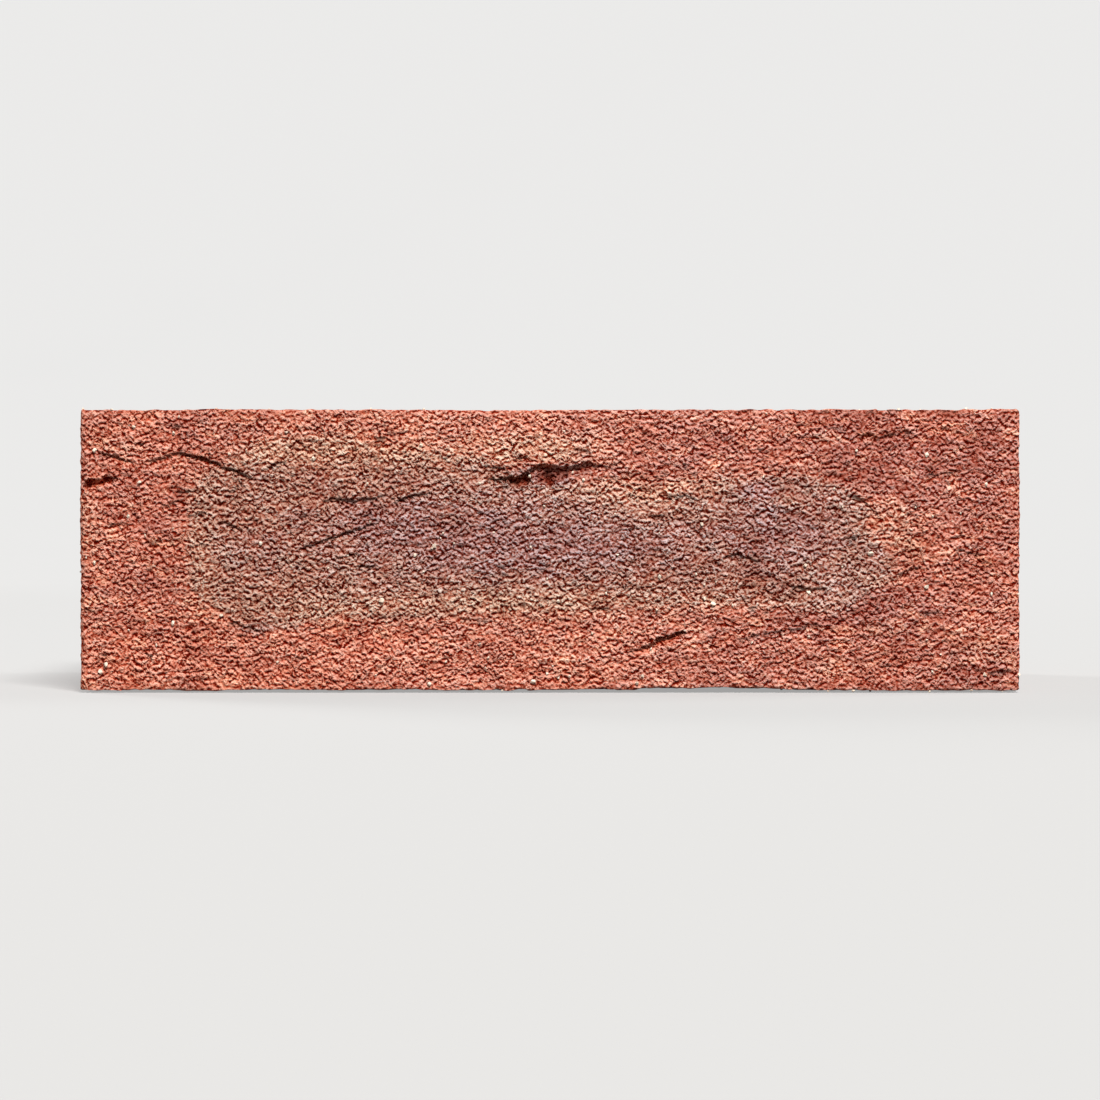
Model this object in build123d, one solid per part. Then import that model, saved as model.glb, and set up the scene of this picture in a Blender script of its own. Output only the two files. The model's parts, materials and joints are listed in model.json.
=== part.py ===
"""A perforated clay facing brick: an extruded column of clay, wire-cut to height, with torn rustic faces.

The brick lies on its lower bed. +X runs along its length, +Y from the front face to the back,
and +Z up. The origin is the middle of the lower bed. Sizes are in millimetres.
"""

from build123d import *
import math
import os

# Work size of the fired brick
LENGTH = 215.0
WIDTH = 102.5
HEIGHT = 65.0

# The die rounds the column's four upright corners, and handling blunts the wire-cut arrises
CORNER_RADIUS = 2.0
ARRIS_RADIUS = 0.8

# Round perforations in a row along the middle of the bed, with a web of clay between them
HOLE_COUNT = 3
HOLE_DIAMETER = 40.0
HOLE_WEB = 20.0

# A tear's mouth starts this far outside the face, so that its cut leaves no skin
TEAR_OVERLAP = 0.2
# How the width of a tear is shared between its steep upper lip and its long lower slope
UPPER_LIP_SHARE = 0.3
# How far a tear's root is up under that lip, as a share of the tear's width
ROOT_RISE_SHARE = 0.2
# How much of a tear's width and depth is left beside its tips
TIP_SHARE = 0.35

# Corner that is knocked off the front face's upper left: along the length, the width and the height
CHIP_LENGTH = 3.5
CHIP_WIDTH = 4.0
CHIP_HEIGHT = 1.7


def from_left(distance, side_length=LENGTH):
    """Place along a side, from its middle, by its distance from the left end as seen from outside."""
    return -side_length / 2 + distance


def from_right(distance, side_length=LENGTH):
    """Place along a side, from its middle, by its distance from the right end as seen from outside."""
    return side_length / 2 - distance


def below_top(distance):
    """Height of a point on a side, by its distance below the upper bed."""
    return HEIGHT - distance


# The tears that the texturing wire left in the front face, as the photograph shows them. Each one has its
# route from tip to tip, its width and its depth
UPPER_LEFT_TEAR = (
    [
        (from_left(2.6), below_top(10.2)),
        (from_left(9.3), below_top(11.9)),
        (from_left(17.4), below_top(12.2)),
        (from_left(23.8), below_top(10.9)),
        (from_left(31.6), below_top(13.1)),
        (from_left(35.6), below_top(14.6)),
        (from_left(39.5), below_top(16.1)),
    ],
    1.3,
    1.2,
)
LEFT_END_TEAR = (
    [
        (from_left(-1.0), below_top(18.3)),
        (from_left(2.6), below_top(17.1)),
        (from_left(5.0), below_top(16.6)),
        (from_left(8.5), below_top(16.6)),
    ],
    1.4,
    1.1,
)
MIDDLE_GOUGE = (
    [
        (from_left(94.0), below_top(16.4)),
        (from_left(99.0), below_top(16.8)),
        (from_left(104.5), below_top(15.9)),
        (from_left(110.5), below_top(15.2)),
        (from_left(118.5), below_top(13.4)),
    ],
    3.6,
    1.8,
)
LOWER_RIGHT_TEAR = (
    [
        (from_right(89.0), 8.0),
        (from_right(85.4), 10.3),
        (from_right(81.6), 11.9),
        (from_right(77.0), 12.7),
    ],
    1.8,
    1.4,
)
UPPER_PATCH_TEAR = (
    [
        (from_left(56.8), below_top(21.3)),
        (from_left(60.3), below_top(21.8)),
        (from_left(63.7), below_top(21.9)),
    ],
    1.0,
    0.8,
)
MIDDLE_PATCH_TEAR = (
    [
        (from_left(56.8), below_top(30.6)),
        (from_left(62.3), below_top(28.4)),
        (from_left(67.0), below_top(27.0)),
    ],
    1.3,
    0.8,
)
RIGHT_PATCH_TEAR = (
    [
        (from_right(70.9), below_top(34.9)),
        (from_right(66.8), below_top(33.8)),
        (from_right(62.2), below_top(34.9)),
    ],
    1.2,
    0.8,
)
RIGHT_END_TEAR = (
    [
        (from_right(33.6), below_top(6.9)),
        (from_right(29.3), below_top(5.8)),
        (from_right(25.0), below_top(5.1)),
    ],
    1.0,
    0.7,
)
RIPPLE_TEAR = (
    [
        (from_left(72.0), below_top(22.0)),
        (from_left(76.0), below_top(20.4)),
        (from_left(80.6), below_top(19.6)),
    ],
    1.2,
    0.8,
)
PATCH_END_TEAR = (
    [
        (from_right(39.2), below_top(20.0)),
        (from_right(36.2), below_top(21.4)),
        (from_right(33.2), below_top(24.6)),
    ],
    1.2,
    0.8,
)
LOW_PATCH_TEAR = (
    [
        (from_right(55.0), below_top(38.4)),
        (from_right(50.0), below_top(40.2)),
        (from_right(44.6), below_top(40.2)),
    ],
    1.1,
    0.7,
)
FRONT_TEARS = [
    UPPER_LEFT_TEAR,
    LEFT_END_TEAR,
    MIDDLE_GOUGE,
    LOWER_RIGHT_TEAR,
    UPPER_PATCH_TEAR,
    MIDDLE_PATCH_TEAR,
    RIGHT_PATCH_TEAR,
    RIGHT_END_TEAR,
    RIPPLE_TEAR,
    PATCH_END_TEAR,
    LOW_PATCH_TEAR,
]

# The larger tears of the sides that the photograph doesn't show, about 15 mm apart. Each one has the
# distances of its two ends from the side's left end, its middle's distance below the upper bed, how far it
# climbs from its left end to its right one, how far it bows upwards, its width and its depth
RIGHT_HEADER_TEARS = [
    (7.0, 24.0, 13.0, -1.5, 0.8, 1.6, 1.1),
    (33.0, 52.0, 8.0, 1.0, -0.6, 1.3, 0.9),
    (60.0, 84.0, 17.0, -2.0, 1.0, 1.9, 1.3),
    (16.0, 39.0, 28.0, 1.2, -0.9, 1.7, 1.2),
    (64.0, 86.0, 33.0, -1.0, 0.7, 1.4, 1.0),
    (76.0, 96.0, 47.0, 1.5, -0.6, 1.6, 1.1),
    (9.0, 30.0, 46.0, -1.2, 0.8, 1.8, 1.2),
    (40.0, 64.0, 54.0, 1.6, -1.0, 1.6, 1.2),
]
LEFT_HEADER_TEARS = [
    (8.0, 27.0, 11.0, 1.4, -0.7, 1.5, 1.0),
    (38.0, 62.0, 15.0, -1.8, 1.0, 1.8, 1.3),
    (73.0, 92.0, 8.0, 1.0, -0.6, 1.4, 0.9),
    (12.0, 34.0, 27.0, -1.0, 0.8, 1.6, 1.1),
    (66.0, 90.0, 29.0, 1.6, -0.9, 1.7, 1.2),
    (80.0, 97.0, 45.0, -1.2, 0.6, 1.4, 1.0),
    (22.0, 45.0, 46.0, 1.4, -0.8, 1.9, 1.3),
    (54.0, 73.0, 53.0, -1.4, 0.9, 1.5, 1.1),
]
BACK_TEARS = [
    (22.0, 50.0, 14.0, 1.6, -0.9, 1.4, 0.9),
    (82.0, 112.0, 17.0, -1.4, 0.8, 1.6, 1.0),
    (148.0, 176.0, 11.0, 1.2, -0.7, 1.3, 0.8),
    (44.0, 72.0, 45.0, -1.8, 1.0, 1.5, 1.0),
    (126.0, 158.0, 49.0, 2.0, -1.1, 1.7, 1.1),
    (178.0, 203.0, 33.0, -1.2, 0.7, 1.4, 0.9),
]
# Points along the route of such a tear
ROUTE_STEPS = 4


def cut_column():
    """The length of clay column between two cuts of the wire, with its arrises blunted."""
    section = RectangleRounded(LENGTH, WIDTH, CORNER_RADIUS)
    column = extrude(section, HEIGHT)
    levels = column.edges().group_by(Axis.Z)
    return fillet(levels[0] + levels[-1], ARRIS_RADIUS)


def perforations():
    """The cores of the die, which leave holes straight through from bed to bed."""
    pitch = HOLE_DIAMETER + HOLE_WEB
    core = extrude(Circle(HOLE_DIAMETER / 2), HEIGHT)
    return [place * core for place in GridLocations(pitch, 0, HOLE_COUNT, 1)]


def side_planes():
    """The planes of the upright sides. Each one's x runs to the right as seen from outside, and its y up."""
    return {
        "front": Plane(origin=(0, -WIDTH / 2, 0), x_dir=(1, 0, 0), z_dir=(0, -1, 0)),
        "right": Plane(origin=(LENGTH / 2, 0, 0), x_dir=(0, 1, 0), z_dir=(1, 0, 0)),
        "back": Plane(origin=(0, WIDTH / 2, 0), x_dir=(-1, 0, 0), z_dir=(0, 1, 0)),
        "left": Plane(origin=(-LENGTH / 2, 0, 0), x_dir=(0, -1, 0), z_dir=(-1, 0, 0)),
    }


def tear_section(along, height, width, depth):
    """The three-cornered section of a tear at one place: its upper lip, its root and its lower lip."""
    upper_lip = (along, height + width * UPPER_LIP_SHARE, TEAR_OVERLAP)
    root = (along, height + width * ROOT_RISE_SHARE, -depth)
    lower_lip = (along, height - width * (1 - UPPER_LIP_SHARE), TEAR_OVERLAP)
    return make_face(Polyline(upper_lip, root, lower_lip, close=True))


def tear(route, width, depth):
    """The hollow of a tear in a side's plane, widest and deepest in the middle, with a tip at either end."""
    tips = [Vertex(along, height, TEAR_OVERLAP) for along, height in (route[0], route[-1])]
    between = route[1:-1]
    sections = []
    for number, (along, height) in enumerate(between, start=1):
        swell = math.sin(math.pi * number / (len(between) + 1))
        size = TIP_SHARE + (1 - TIP_SHARE) * swell
        sections.append(tear_section(along, height, width * size, depth * size))
    return loft([tips[0], *sections, tips[1]], ruled=True)


def bowed_route(start, end, below, climb, bow, side_length):
    """The route of a tear from its two ends, with its climb and its bow."""
    route = []
    for step in range(ROUTE_STEPS + 1):
        share = step / ROUTE_STEPS
        along = from_left(start + (end - start) * share, side_length)
        rise = climb * (share - 0.5) + bow * math.sin(math.pi * share)
        route.append((along, below_top(below) + rise))
    return route


def all_tears():
    """Every tear, in its place on the brick."""
    planes = side_planes()
    hollows = [planes["front"].location * tear(*shape) for shape in FRONT_TEARS]
    others = {
        "right": (RIGHT_HEADER_TEARS, WIDTH),
        "back": (BACK_TEARS, LENGTH),
        "left": (LEFT_HEADER_TEARS, WIDTH),
    }
    for side, (tears, side_length) in others.items():
        for start, end, below, climb, bow, width, depth in tears:
            route = bowed_route(start, end, below, climb, bow, side_length)
            hollows.append(planes[side].location * tear(route, width, depth))
    return hollows


def knocked_corner_plane():
    """The plane of the break at the front face's upper left corner, facing out of the brick."""
    corner = Vector(from_left(0), -WIDTH / 2, HEIGHT)
    on_length = corner + Vector(CHIP_LENGTH, 0, 0)
    on_width = corner + Vector(0, CHIP_WIDTH, 0)
    on_height = corner - Vector(0, 0, CHIP_HEIGHT)
    outward = (on_width - on_length).cross(on_height - on_length)
    if outward.dot(corner - on_length) < 0:
        outward = -outward
    return Plane(origin=on_length, z_dir=outward)


def brick():
    """The whole brick, one solid of fired clay."""
    body = cut_column()
    for core in perforations():
        body -= core
    for hollow in all_tears():
        body -= hollow
    return split(body, bisect_by=knocked_corner_plane(), keep=Keep.BOTTOM)


os.makedirs("parts", exist_ok=True)
export_step(brick(), "parts/brick.step")
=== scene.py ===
"""Looks of a wire-cut facing brick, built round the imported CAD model.

The torn skin, the wire-cut beds and the walls of the perforations are one closed mesh with real relief.
The pale grit in the clay is a second piece. Sizes are in millimetres until a mesh is made.
"""

import json
import math

import bmesh
import bpy
import numpy as np
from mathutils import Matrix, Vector, geometry, noise


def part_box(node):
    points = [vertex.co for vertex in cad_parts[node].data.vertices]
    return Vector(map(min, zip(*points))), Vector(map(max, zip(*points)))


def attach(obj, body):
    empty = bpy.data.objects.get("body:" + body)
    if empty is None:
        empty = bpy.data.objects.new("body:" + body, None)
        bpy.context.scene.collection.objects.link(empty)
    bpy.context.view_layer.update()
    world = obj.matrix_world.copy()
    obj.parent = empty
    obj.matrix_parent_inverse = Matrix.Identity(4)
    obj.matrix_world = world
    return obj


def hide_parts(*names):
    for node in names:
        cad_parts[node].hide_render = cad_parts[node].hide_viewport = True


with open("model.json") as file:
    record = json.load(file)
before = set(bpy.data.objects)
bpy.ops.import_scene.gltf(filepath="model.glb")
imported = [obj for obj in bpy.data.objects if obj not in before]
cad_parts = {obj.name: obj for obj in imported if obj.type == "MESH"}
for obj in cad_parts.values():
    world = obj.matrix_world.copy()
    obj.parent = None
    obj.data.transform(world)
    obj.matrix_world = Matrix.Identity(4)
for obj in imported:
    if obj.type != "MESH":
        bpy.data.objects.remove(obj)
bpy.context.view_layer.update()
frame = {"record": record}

MM = 0.001

# The CAD brick's sizes, and the middle and radius of each perforation
low_corner, high_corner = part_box("brick")
LENGTH, WIDTH, HEIGHT = (high_corner - low_corner) / MM
BORES = [
    (mount["pos_m"][0] / MM, mount["pos_m"][1] / MM, mount["dims"]["r_mm"])
    for mount in frame["record"]["mounts"]
    if mount["kind"] == "bore"
]

# Upright corners that the die rounds
CORNER_RADIUS = 2.0
CORNER_STEPS = 4
# Arrises, which vary along the brick
ARRIS_RADIUS = 0.9
ARRIS_STEPS = 3

# Pitch of the skin's columns of points, finest where the brick is seen most
PITCH = {"front": 0.64, "right": 1.0, "back": 1.6, "left": 1.0}
SIDE_LENGTH = {"front": LENGTH, "right": WIDTH, "back": LENGTH, "left": WIDTH}
# Way round the brick to each side's left end, as seen from outside
SIDE_START = {"front": 0.0, "right": LENGTH, "back": LENGTH + WIDTH, "left": 2 * LENGTH + WIDTH}
# The side at each one's left end, from which distances along it run
STARTS_AT = {"front": "left", "right": "front", "back": "right", "left": "back", "bed": "left"}
GIRTH = 2 * (LENGTH + WIDTH)
SKIN_ROWS = 114
BED_PITCH_ACROSS = 1.05
BED_PITCH_ALONG = 4.4
BORE_COLUMNS = 72
BORE_ROWS = 18

# The middle of the relief is this far inside the CAD faces, so that its peaks reach them
ALLOWANCE = 0.6
# How far a lump of the skin sags downwards for each millimetre that it stands out
LEAN = 0.4
# Middle of the size of smooth noise
FOLD_MIDDLE = 0.22

RANDOM = np.random.default_rng(1907)


# How far apart the noises of two seeds in a row are
SEED_STEP = 19.7


def smooth_noise(points, size, seed):
    """Smooth noise, about -0.9 to 0.9, at points. size is its feature size along x, y and z."""
    shifted = points / np.array(size) + SEED_STEP * seed
    return np.array([noise.noise(point) for point in shifted.tolist()])


def smooth_step(low, high, values):
    """From 0 at low to 1 at high, without a kink at either end."""
    share = np.clip((values - low) / (high - low), 0, 1)
    return share * share * (3 - 2 * share)


# Outline and profile of the skin


def outline():
    """Places, outward directions and ways of the skin's columns, counterclockwise from above."""
    columns = []
    corner = Vector((-LENGTH / 2, -WIDTH / 2))
    along = Vector((1, 0))
    for side, length in SIDE_LENGTH.items():
        outward = Vector((along.y, -along.x))
        straight = length - 2 * CORNER_RADIUS
        steps = round(straight / PITCH[side])
        for step in range(steps + 1):
            way = CORNER_RADIUS + straight * step / steps
            columns.append((*(corner + along * way), *outward, SIDE_START[side] + way))
        centre = corner + along * (length - CORNER_RADIUS) - outward * CORNER_RADIUS
        for step in range(1, CORNER_STEPS):
            share = step / CORNER_STEPS
            turn = math.pi / 2 * share
            facing = outward * math.cos(turn) + along * math.sin(turn)
            way = SIDE_START[side] + length + CORNER_RADIUS * (2 * share - 1)
            columns.append((*(centre + facing * CORNER_RADIUS), *facing, way))
        corner = corner + along * length
        along = Vector((-along.y, along.x))
    columns = np.array(columns)
    return columns[:, :2], columns[:, 2:4], columns[:, 4]


def arris_radius(ways, seed):
    """Radius of an arris along the way round the brick."""
    places = ways[:, None] * np.array((1, 0, 0))
    slow = smooth_noise(places, (16, 1, 1), seed)
    quick = smooth_noise(places, (3.5, 1, 1), seed + 1)
    return np.clip(ARRIS_RADIUS + 0.5 * slow + 0.35 * quick, 0.35, 1.8)


def profile(ways):
    """Heights, insets and tilts of the skin's rows. The tilt is 0 where the skin faces down."""
    lower = arris_radius(ways, 3)
    upper = arris_radius(ways, 8)
    turns = [math.pi / 2 * step / ARRIS_STEPS for step in range(ARRIS_STEPS + 1)]
    rows = [(lower * (1 - math.cos(turn)), lower * (1 - math.sin(turn)), turn) for turn in turns]
    for row in range(1, SKIN_ROWS):
        level = lower + (HEIGHT - lower - upper) * row / SKIN_ROWS
        rows.append((level, np.zeros_like(ways), math.pi / 2))
    for turn in reversed(turns):
        rows.append((HEIGHT - upper * (1 - math.cos(turn)), upper * (1 - math.sin(turn)), math.pi - turn))
    return [np.array(part) for part in zip(*rows)]


# Relief of the torn skin, the wire-cut beds and the perforation walls


def rustic_share(ways):
    """1 on the sides that the texturing wire tore, and less on the back, which is die skin."""
    into_back = np.minimum(ways - SIDE_START["back"], SIDE_START["left"] - ways)
    return 1 - 0.72 * smooth_step(0, 7, into_back)


def torn_height(points):
    """Height of the torn skin: torn lumps that lie level, and the grain of the clay."""
    lumps = 0.38 * smooth_noise(points, (9, 9, 6), 2)
    scales = 0.40 * (np.abs(smooth_noise(points, (3.8, 3.8, 2.6), 3)) - FOLD_MIDDLE)
    grain = 0.50 * (np.abs(smooth_noise(points, (1.8, 1.8, 1.4), 4)) - FOLD_MIDDLE)
    fine = 0.60 * smooth_noise(points, (1.1, 1.1, 0.95), 5)
    return lumps + scales + grain + fine


def die_skin_height(points):
    """Height of the smoother back, with upright lines that the die drew."""
    lines = 0.16 * smooth_noise(points, (2.6, 2.6, 60), 6)
    return lines + 0.22 * smooth_noise(points, (2.2, 2.2, 1.6), 7)


def bed_height(points):
    """Height of a wire-cut bed: grooves that the wire drew across it, folds and torn pits."""
    swell = 0.20 * smooth_noise(points, (30, 26, 30), 11)
    grooves = 0.24 * smooth_noise(points, (1.9, 20, 20), 12)
    ribs = 0.20 * smooth_noise(points, (5.2, 60, 20), 13)
    folds = 0.16 * smooth_noise(points, (18, 5, 20), 14)
    pits = -1.0 * smooth_step(0.34, 0.68, smooth_noise(points, (3.0, 8, 20), 15))
    return swell + grooves + ribs + folds + pits


# Tears that the texturing wire left


def tear(side, route, flap=False):
    """A tear on one side, from points along its upper lip.

    Each point is its distance from the side's left end, its distance below the upper bed, and the height
    and depth of the hollow under it. A flap is a hollow that is deepest behind its lower lip.
    """
    along, below, height, depth = np.array(route).T
    return SIDE_START[side] + along, HEIGHT - below, height, depth, flap


# Routes of the front face's tears that the photograph shows one by one, and which of them are flaps
PHOTOGRAPHED_TEARS = [
    [(4.8, 10.1, 0.6, 0.2), (6.4, 10.4, 1.1, 0.7), (8.6, 11.1, 1.5, 1.1), (10.2, 11.8, 1.1, 0.8),
     (11.8, 12.2, 0.5, 0.2)],
    [(15.8, 12.2, 0.4, 0.1), (17.4, 11.8, 0.9, 0.7), (20.6, 11, 1.1, 1.1), (23.2, 10.2, 1, 1),
     (25, 10.6, 1.1, 1.2), (28, 11.3, 1.3, 1.5), (31.6, 12.6, 1.2, 1.3), (32.8, 13.3, 0.6, 0.5),
     (34.2, 13.6, 1.1, 1.2), (36.6, 14.6, 1, 0.9), (40, 16.3, 0.5, 0.2)],
    [(-2, 17.6, 2.2, 1.3), (1, 17.1, 2.2, 1.7), (3, 16, 2.2, 1.8), (4.6, 16.5, 1.8, 1.5),
     (6.8, 15.9, 1.4, 1.1), (9.2, 16.2, 0.7, 0.3)],
    [(93.4, 16.2, 0.6, 0.3), (95.5, 16.3, 1, 0.9), (98.4, 16.2, 1.5, 1.4), (100.4, 15.8, 2.2, 1.7),
     (102.4, 14.6, 2.8, 1.7), (104, 13.3, 3.6, 1.7), (105.6, 12.8, 4.2, 1.7), (107.4, 13, 4.2, 1.7),
     (109.2, 13.5, 3.4, 1.5), (111.2, 13.6, 2.5, 1.2), (113.6, 13.2, 1.9, 0.9), (116.4, 12.9, 1.5, 0.8),
     (119.4, 13.5, 0.6, 0.3)],
    [(125.2, 55.8, 1.2, 0.3), (127.6, 55, 2, 0.7), (129.8, 53.9, 2.5, 1.2), (131.8, 52.6, 2.6, 1.6),
     (134.4, 51.8, 2.2, 1.8), (136.8, 51.2, 1.8, 1.4), (138.6, 51, 0.9, 0.4)],
    [(56, 21.2, 0.5, 0.2), (58.6, 20.8, 0.9, 0.6), (62.4, 21.2, 1, 0.7), (66.4, 20.8, 0.9, 0.7),
     (69.8, 20.2, 0.5, 0.2)],
    [(50.6, 32, 0.5, 0.2), (54, 30.9, 0.9, 0.6), (58, 29.6, 1.1, 0.8), (62, 28.3, 1.1, 0.8),
     (65.4, 27.2, 0.9, 0.6), (68.4, 26.4, 0.4, 0.2)],
    [(146.2, 34.6, 0.5, 0.1), (148.4, 33.6, 0.8, 0.4), (151, 33.4, 0.9, 0.5), (153.2, 34.4, 0.8, 0.4),
     (155.2, 35.6, 0.4, 0.2)],
    [(181, 7.6, 0.4, 0.1), (184.4, 6.6, 0.5, 0.3), (187, 5.9, 0.4, 0.15), (190.6, 5, 0.4, 0.1)],
    [(72, 21.8, 0.8, 0.3), (74.4, 20.6, 1.4, 0.8), (77, 20, 1.3, 0.7), (80.6, 19.3, 0.5, 0.2)],
    [(175.8, 19.8, 0.6, 0.2), (178, 20.6, 1, 0.6), (180, 22, 1, 0.6), (182, 24.6, 0.5, 0.2)],
    [(133.6, 21.2, 0.4, 0.2), (137.2, 19.9, 0.9, 0.5), (140.2, 20.4, 0.4, 0.2)],
    [(34.2, 48.8, 0.8, 0.15), (37.4, 49.4, 1.6, 0.35), (40, 50.4, 1.6, 0.35), (42.8, 52, 0.8, 0.15)],
    [(150, 52.8, 0.4, 0.1), (156, 51.4, 0.5, 0.15), (163, 50.4, 0.6, 0.2), (169, 49.4, 0.4, 0.1)],
    [(160, 40.6, 0.4, 0.1), (163.4, 40.9, 0.6, 0.25), (166.4, 41.2, 0.9, 0.5), (170.4, 41, 0.4, 0.2)],
    [(42, 14.2, 0.5, 0.2), (44.5, 13, 0.9, 0.5), (47.8, 12.2, 0.5, 0.2)],
    [(22.2, 19.4, 0.4, 0.15), (24, 19.4, 0.6, 0.4), (25.8, 19.2, 0.4, 0.15)],
    [(18.4, 21.4, 0.4, 0.15), (20.2, 22.3, 0.7, 0.4), (23.2, 21.4, 0.4, 0.15)],
    [(34.4, 19.2, 0.4, 0.15), (36, 18.2, 0.8, 0.5), (37.6, 17, 0.4, 0.2)],
    [(99.6, 11.6, 0.5, 0.3), (101, 11.5, 0.8, 0.7), (102.2, 11.2, 0.4, 0.2)],
]
FLAPS = (2, 3)

# Larger tears of the other sides, as in the CAD brick: the distances along the side of their two ends,
# their distance below the upper bed, their climb and bow, and the height and depth of their hollows
LARGER_TEARS = {
    "right": [
        (7, 24, 13, -1.5, 0.8, 1.6, 1.1), (33, 52, 8, 1, -0.6, 1.3, 0.9), (60, 84, 17, -2, 1, 1.9, 1.3),
        (16, 39, 28, 1.2, -0.9, 1.7, 1.2), (64, 86, 33, -1, 0.7, 1.4, 1),
        (76, 96, 47, 1.5, -0.6, 1.6, 1.1), (9, 30, 46, -1.2, 0.8, 1.8, 1.2),
        (40, 64, 54, 1.6, -1, 1.6, 1.2),
    ],
    "back": [
        (22, 50, 14, 1.6, -0.9, 1.4, 0.9), (82, 112, 17, -1.4, 0.8, 1.6, 1),
        (148, 176, 11, 1.2, -0.7, 1.3, 0.8), (44, 72, 45, -1.8, 1, 1.5, 1),
        (126, 158, 49, 2, -1.1, 1.7, 1.1), (178, 203, 33, -1.2, 0.7, 1.4, 0.9),
    ],
    "left": [
        (8, 27, 11, 1.4, -0.7, 1.5, 1), (38, 62, 15, -1.8, 1, 1.8, 1.3), (73, 92, 8, 1, -0.6, 1.4, 0.9),
        (12, 34, 27, -1, 0.8, 1.6, 1.1), (66, 90, 29, 1.6, -0.9, 1.7, 1.2),
        (80, 97, 45, -1.2, 0.6, 1.4, 1), (22, 45, 46, 1.4, -0.8, 1.9, 1.3),
        (54, 73, 53, -1.4, 0.9, 1.5, 1.1),
    ],
}

# Smaller tears on each side: how many, and ranges of their lengths, heights and depths
CHANCE_TEARS = {
    "front": (34, (2.0, 6.0), (0.5, 0.9), (0.15, 0.45)),
    "right": (30, (2.5, 8.0), (0.7, 1.3), (0.3, 0.8)),
    "back": (12, (3.0, 10.0), (0.7, 1.2), (0.25, 0.6)),
    "left": (28, (2.5, 8.0), (0.7, 1.3), (0.3, 0.8)),
}


def larger_tears():
    """The larger tears of the other sides, each one deepest in its middle."""
    tears = []
    for side, shapes in LARGER_TEARS.items():
        for start, end, below, climb, bow, height, depth in shapes:
            route = []
            for share in (0, 0.12, 0.3, 0.5, 0.7, 0.88, 1):
                arch = math.sin(math.pi * share)
                swell = 0.2 + 0.8 * arch + RANDOM.uniform(-0.15, 0.15)
                rise = climb * (share - 0.5) + bow * arch + RANDOM.uniform(-0.4, 0.4)
                lip = below - rise - 0.3 * height
                route.append((start + (end - start) * share, lip, height * swell, depth * swell))
            tears.append(tear(side, route))
    return tears


def chance_tears():
    """Small tears between those, which fall anywhere and run nearly level."""
    tears = []
    for side, (count, *ranges) in CHANCE_TEARS.items():
        for _ in range(count):
            length, height, depth = (RANDOM.uniform(*limits) for limits in ranges)
            start = RANDOM.uniform(1, SIDE_LENGTH[side] - length - 1)
            below = RANDOM.uniform(3, HEIGHT - 3)
            slope = RANDOM.normal(0, 0.2)
            bow = RANDOM.normal(0, 0.09) * length
            route = []
            for share in (0, 0.25, 0.5, 0.75, 1):
                arch = math.sin(math.pi * share)
                swell = 0.25 + 0.75 * arch
                drop = slope * length * share + bow * arch
                route.append((start + length * share, below + drop, height * swell, depth * swell))
            tears.append(tear(side, route))
    return tears


# How far a tear's upper lip hangs over and stands out, as shares of its depth
LIP_OVERHANG = 0.16
LIP_RISE = 0.08
# How far down a tear changes the skin, as a share of its height
TEAR_REACH = 1.5


def cut_tear(cut, ways, levels, depths):
    """Cuts one tear into the skin. The rows nearest to its upper lip move there, to make it crisp."""
    route, lips, heights, hollows, flap = cut
    lowest_row = ARRIS_STEPS + 2
    highest_row = len(levels) - ARRIS_STEPS - 3
    for column in np.nonzero((ways > route[0]) & (ways < route[-1]))[0]:
        way = ways[column]
        slow = noise.noise((way / 2.3, lips[0], 3.1))
        quick = noise.noise((way / 0.9, lips[0], 7.7))
        height = np.interp(way, route, heights) * (1 + 0.35 * slow + 0.2 * quick)
        depth = np.interp(way, route, hollows) * (1 + 0.45 * slow + 0.3 * quick)
        lip = np.interp(way, route, lips) + 0.2 * slow + 0.15 * quick
        level = levels[:, column]
        hollow = depths[:, column]
        lip_row = int(np.argmin(np.abs(level - lip)))
        if not lowest_row + 2 < lip_row < highest_row:
            continue
        level[lip_row] = lip
        level[lip_row - 1] = lip + LIP_OVERHANG * depth
        hollow[lip_row - 1] = max(hollow[lip_row - 1], 0.75 * depth if flap else depth)
        hollow[lip_row] -= LIP_RISE * depth
        for row in range(lip_row - 2, lowest_row, -1):
            fall = (lip - level[row]) / height
            if fall >= TEAR_REACH:
                break
            if flap:
                floor = depth * (0.72 + 0.28 * fall) if fall < 1 else 0.0
                curl = 0.45 * depth * math.exp(-(((fall - 1.08) / 0.16) ** 2))
            else:
                floor = depth * max(0.0, 1 - fall) ** 1.25
                curl = 0.16 * depth * math.exp(-(((fall - 1.1) / 0.25) ** 2))
            hollow[row] = max(hollow[row], floor) - curl * (fall > 0.9)


# Knocks and nicks along the arrises


# Knocked corners: the way to each one, and how far along x, y and z its break meets the arrises
KNOCKED_CORNERS = {
    (-1, -1, 1): (3.5, 4.0, 1.7),
    (1, -1, 1): (1.6, 2.2, 1.2),
    (1, -1, -1): (2.6, 2.0, 1.6),
    (-1, -1, -1): (1.8, 2.4, 2.0),
    (1, 1, 1): (5.0, 3.6, 3.4),
    (-1, 1, 1): (2.4, 3.0, 2.2),
    (1, 1, -1): (2.2, 3.4, 2.6),
    (-1, 1, -1): (3.0, 2.0, 2.4),
}


def knock_corners(points):
    """Moves points outside a corner's rough break back onto it."""
    rough = 0.3 * smooth_noise(points, (1.6, 1.6, 1.6), 21)
    for way, reaches in KNOCKED_CORNERS.items():
        corner = np.array((0, 0, HEIGHT / 2)) + np.array(way) * (LENGTH / 2, WIDTH / 2, HEIGHT / 2)
        slope = np.array(way) / reaches
        steepness = np.linalg.norm(slope)
        beyond = ((points - corner) @ slope + 1) / steepness - rough
        points = points - np.maximum(beyond, 0)[:, None] * slope / steepness
    return points


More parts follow.
